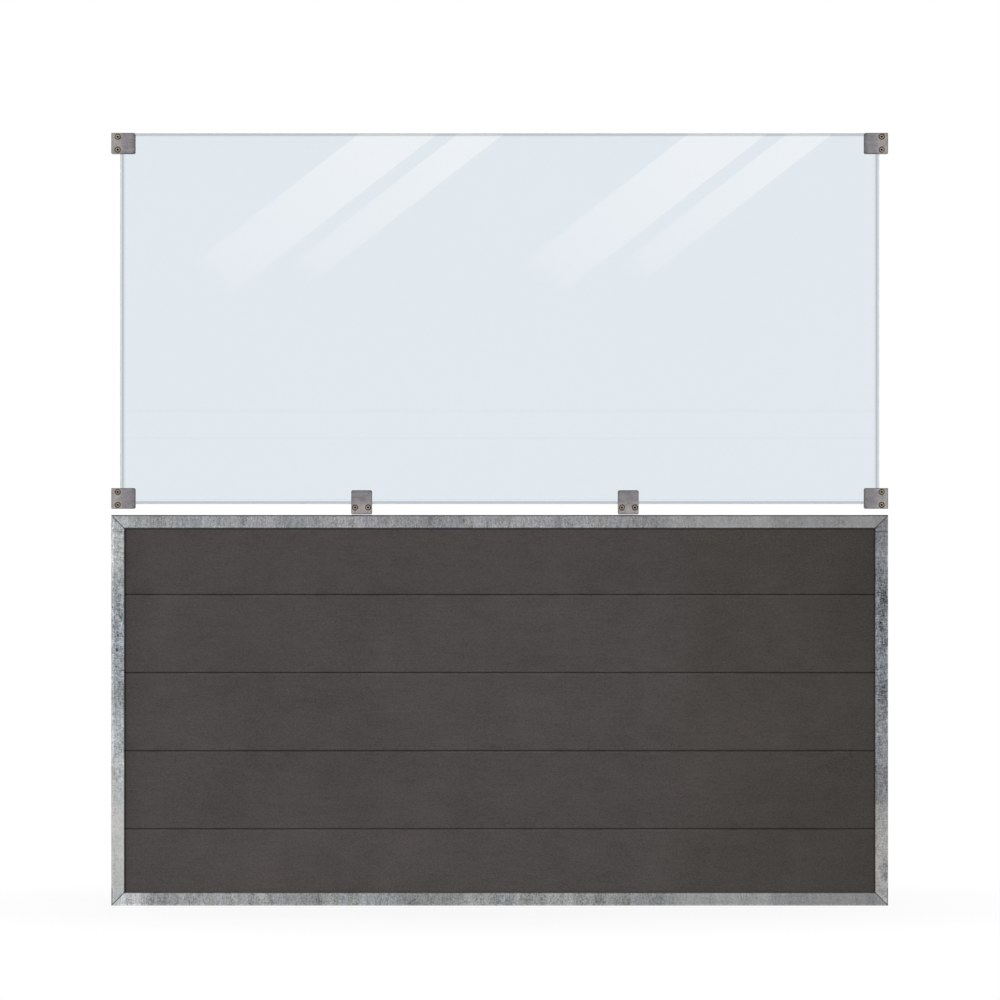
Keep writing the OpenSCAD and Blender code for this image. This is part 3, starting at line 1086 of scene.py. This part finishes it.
@dataclass
class GlassClamp:
    """A two-part clamp: a body with the rear jaw, a cover, a rubber channel and two screws."""

    nodes: Dict[str, Object]
    name: str
    facing: Facing
    metal: Material
    rubber: Material
    screw_metal: Material
    screw_inset: float = 15 * MM
    screw_half_pitch: float = 15 * MM
    screw_depth: float = 0.12 * MM
    edge_round: float = 0.15 * MM
    edge_steps: int = 2
    chamfer_angles: Span = (math.radians(38), math.radians(52))
    crisp_angle: float = 32

    def build(self) -> None:
        """Makes and dresses the clamp's pieces."""
        for part in ("body", "cover"):
            self._casting(part)
        dress(self.nodes[f"{self.name}_gasket"], self.rubber)
        for number, side in ((1, 1), (2, -1)):
            self._screw(number, side)

    def base(self) -> Vector:
        """Middle of the face that the clamp is fixed by, at the cover's front.

        Returns:
            The point.
        """
        low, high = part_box(f"{self.name}_body")
        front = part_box(f"{self.name}_cover")[0].y
        middle = (low + high) / 2
        x, z = self.facing.value
        return Vector(({1: low.x, -1: high.x, 0: middle.x}[x], front, low.z if z else middle.z))

    def axes(self) -> Tuple[Vector, Vector]:
        """Unit vectors from base to tip and across the clamp, in the plane of the fence."""
        x, z = self.facing.value
        return Vector((x, 0, z)), Vector((-z, 0, x))

    def _casting(self, part: str) -> None:
        """Makes one casting with its chamfers eased.

        Args:
            part: Which of the two castings, body or cover.
        """

        def chamfer_edge(edge: Edge) -> bool:
            """True for an edge of a 45 degree chamfer."""
            return self.chamfer_angles[0] < edge.calc_face_angle() < self.chamfer_angles[1]

        node = self.nodes[f"{self.name}_{part}"]
        mesh = merged_copy(node)
        round_edges(mesh, chamfer_edge, self.edge_round, self.edge_steps)
        self._write_place(mesh)
        piece = add_piece(f"{self.name}_{part}_casting", mesh, self.metal, self.crisp_angle)
        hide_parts(node.name)

    def _write_place(self, mesh: Mesh) -> None:
        """Stores each point's measure from the base, across and into the clamp.

        Args:
            mesh: A casting, in place.
        """
        layer = mesh.verts.layers.float_vector.new(SatinCastMetal.place_name)
        base = self.base()
        along, across = self.axes()
        for point in mesh.verts:
            off = point.co - base
            point[layer] = Vector((off.dot(along), off.dot(across), off.y))

    def _screw(self, number: int, side: int) -> None:
        """Makes one screw of the cover.

        Args:
            number: Its number on the clamp.
            side: 1 or -1, across the clamp.
        """
        along, across = self.axes()
        centre = self.base() + along * self.screw_inset + across * (side * self.screw_half_pitch)
        mesh = ClampScrew().mesh(centre + Vector((0, self.screw_depth, 0)))
        layer = mesh.verts.layers.float.new(ScrewSteel.radius_name)
        for point in mesh.verts:
            off = point.co - centre
            point[layer] = math.hypot(off.x, off.z)
        add_piece(f"{self.name}_screw_{number}", mesh, self.screw_metal, self.crisp_angle)


# ---- studio


@dataclass
class Studio:
    """A plain pale floor, soft light and the camera in front of the bay."""

    middle: Vector
    distance: float = 12.0
    view_width: float = 2.3166
    front: float = -0.015
    aim_x: float = 0.9007
    aim_z: float = 0.9398
    ambient: float = 0.45
    ceiling: Span = (0.25, 0.8)
    ceiling_shade: float = 0.35
    lamp_side: float = 4.5
    floor_radius: float = 9.0
    floor_sides: int = 96
    floor_gap: float = 0.4 * MM
    floor_tone: Rgb = (0.94, 0.94, 0.94)
    shadow_half_sizes: Span = (1.7, 1.0)
    shadow_core: float = 0.3
    shadow_share: float = 0.12

    LAMPS = (
        ("key", (-4.2, -8.2, 4.4), 265.0),
        ("fill", (6.0, -8.2, 4.4), 228.0),
        ("back", (0.9, 8.8, 4.8), 190.0),
    )
    WHITE = (1.0, 1.0, 1.0, 1.0)

    def build(self) -> None:
        """Sets up the camera, the light, the floor and the glare cards."""
        self.camera()
        self.world()
        self.lamps()
        self.floor()
        GlareCards(self.aim_x, self.aim_z, self.distance + self.front).build()
        bpy.context.scene.view_settings.view_transform = "Standard"

    def camera(self) -> None:
        """Places a level camera with a long lens, square to the bay."""
        data = bpy.data.cameras.new("camera")
        data.lens = data.sensor_width * self.distance / self.view_width
        camera = bpy.data.objects.new("camera", data)
        bpy.context.scene.collection.objects.link(camera)
        camera.location = (self.aim_x, self.front - self.distance, self.aim_z)
        camera.rotation_euler = (math.radians(90), 0, 0)
        bpy.context.scene.camera = camera

    @staticmethod
    def seen(g: Graph) -> Tuple[Socket, Socket]:
        """Which rays show the white ground.

        Args:
            g: The graph that asks.

        Returns:
            1 for rays from the camera, a mirror or glass, and 1 for rays from a mirror alone.
        """
        path = g.node("LightPath")
        glossy = g.out(path, "Is Glossy Ray")
        shown = g.most(g.out(path, "Is Camera Ray"), g.most(glossy, g.out(path, "Is Transmission Ray")))
        return shown, glossy

    def world(self) -> None:
        """White all round where it is seen, a darker ceiling in metal, and an even fill light."""
        world = bpy.data.worlds.new("world")
        bpy.context.scene.world = world
        world.use_nodes = True
        g = Graph(world.node_tree)
        shown, glossy = self.seen(g)
        up = g.split(g.out(g.points, "Generated"))[2]
        level = 1 - self.ceiling_shade * (g.rise(up, *self.ceiling) * glossy)
        plain = g.node("Background", {"Color": self.WHITE, "Strength": level})
        fill = g.node("Background", {"Color": self.WHITE, "Strength": self.ambient})
        g.show(shown, fill, plain, "World")

    def lamps(self) -> None:
        """Wide soft lamps above the fence, two in front and one behind."""
        for name, place, power in self.LAMPS:
            data = bpy.data.lights.new(name, "AREA")
            data.shape = "SQUARE"
            data.size = self.lamp_side
            data.energy = power
            lamp = bpy.data.objects.new(name, data)
            bpy.context.scene.collection.objects.link(lamp)
            lamp.visible_camera = False
            lamp.location = place
            lamp.rotation_euler = (self.middle - lamp.location).to_track_quat("-Z", "Y").to_euler()

    def floor(self) -> None:
        """A pale round floor that is white to the eye and keeps a soft shadow."""
        mesh = bmesh.new()
        bmesh.ops.create_circle(mesh, cap_ends=True, segments=self.floor_sides, radius=self.floor_radius)
        bmesh.ops.translate(mesh, vec=(self.middle.x, self.middle.y, -self.floor_gap), verts=mesh.verts)
        material, g = new_material("pale_floor")
        x, y, _ = g.split(g.place)
        half_x, half_y = self.shadow_half_sizes
        away = g.far((x - self.middle.x) / half_x, (y - self.middle.y) / half_y)
        kept = g.rise(away, 1.0, self.shadow_core) * self.shadow_share
        shown, _ = self.seen(g)
        matt = g.node("BsdfDiffuse", {"Color": (*self.floor_tone, 1.0)})
        white = g.node("Emission", {"Color": self.WHITE, "Strength": 1.0})
        g.show(shown * (1 - kept), matt, white)
        new_object("floor", mesh, material)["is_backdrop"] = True


@dataclass
class GlareCards:
    """Slanted strip cards in front of the bay, seen only as faint streaks in the glass.

    They lie on one upright sheet and are measured where their streaks lie on the pane: their
    ends along X at one level, their lean along X per metre of height, and how they fade in.
    """

    aim_x: float
    aim_z: float
    distance: float
    depth: float = 3.0
    size: Triple = (2.6, 1.0, 1.4)
    centre_z: float = 1.7
    streaks: Levels = ((0.554, 0.736), (0.784, 0.890), (1.318, 1.500), (1.547, 1.652))
    level: float = 1.774
    lean: float = 1.285
    fade_tilt: float = 0.4
    fade_from: float = 1.40
    fade_over: float = 0.37
    tail: Span = (1.478, 1.512)
    soft: float = 2 * MM
    glow: Rgb = (1.0, 0.84, 0.71)
    power: float = 3.2

    def build(self) -> None:
        """Hangs the sheet, which only the glass can mirror."""
        mesh = bmesh.new()
        bmesh.ops.create_grid(mesh, x_segments=1, y_segments=1, size=0.5)
        bmesh.ops.rotate(mesh, matrix=Matrix.Rotation(math.radians(90), 3, "X"), verts=mesh.verts)
        bmesh.ops.scale(mesh, vec=self.size, verts=mesh.verts)
        bmesh.ops.translate(mesh, vec=(self.aim_x, -self.depth, self.centre_z), verts=mesh.verts)
        material, g = new_material("glare_cards")
        light = g.node("Emission", {"Color": (*self.glow, 1.0), "Strength": self.power})
        g.show(self.strips(g), g.node("BsdfTransparent"), light)
        material.cycles.emission_sampling = "NONE"
        sheet = new_object("glare_cards", mesh, material)
        for ray in ("camera", "diffuse", "transmission", "shadow", "volume_scatter"):
            setattr(sheet, f"visible_{ray}", False)
        sheet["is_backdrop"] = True

    def strips(self, g: Graph) -> Socket:
        """Where the strips lie on the sheet.

        Args:
            g: The material's graph.

        Returns:
            From 0 where the sheet is clear to 1 on a strip.
        """
        x, _, z = g.split(g.place)
        share = self.depth / self.distance
        glass_x = (x + share * self.aim_x) / (1 + share)
        glass_z = (z + share * self.aim_z) / (1 + share)
        across = glass_x - self.lean * (glass_z - self.level)
        strips: Term = 0.0
        for start, end in self.streaks:
            reach = glass_z + self.fade_tilt * (across - start)
            fade = g.least(g.most((reach - self.fade_from) / self.fade_over, 0.0), 1.0)
            strips = g.window(across, start, end, self.soft) * fade * g.rise(reach, *self.tail) + strips
        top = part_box("glass_pane")[1].z
        return strips * g.rise(glass_z, top + self.soft, top - self.soft)


def main() -> None:
    """Builds the bay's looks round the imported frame."""
    logging.basicConfig(level=logging.INFO, format="%(name)s: %(message)s")
    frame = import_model()
    cad_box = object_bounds()
    nodes = frame["nodes"]
    SteelFrame(nodes).build()
    BoardStack(nodes).build()
    GlassPane().build()
    metal, rubber = SatinCastMetal().material(), GASKET_RUBBER.material()
    screw_metal, plastic = ScrewSteel().material(), PAD_PLASTIC.material()
    clamps = {
        "clamp_top_left": Facing.RIGHT,
        "clamp_top_right": Facing.LEFT,
        "clamp_bottom_left": Facing.RIGHT,
        "clamp_bottom_right": Facing.LEFT,
        "foot_clamp_left": Facing.UP,
        "foot_clamp_right": Facing.UP,
    }
    for name, facing in clamps.items():
        GlassClamp(nodes, name, facing, metal, rubber, screw_metal).build()
    for name in ("foot_pad_left", "foot_pad_right"):
        dress(nodes[name], plastic)
    low, high = cad_box
    Studio(middle=(low + high) / 2).build()


if __name__ == "__main__":
    main()
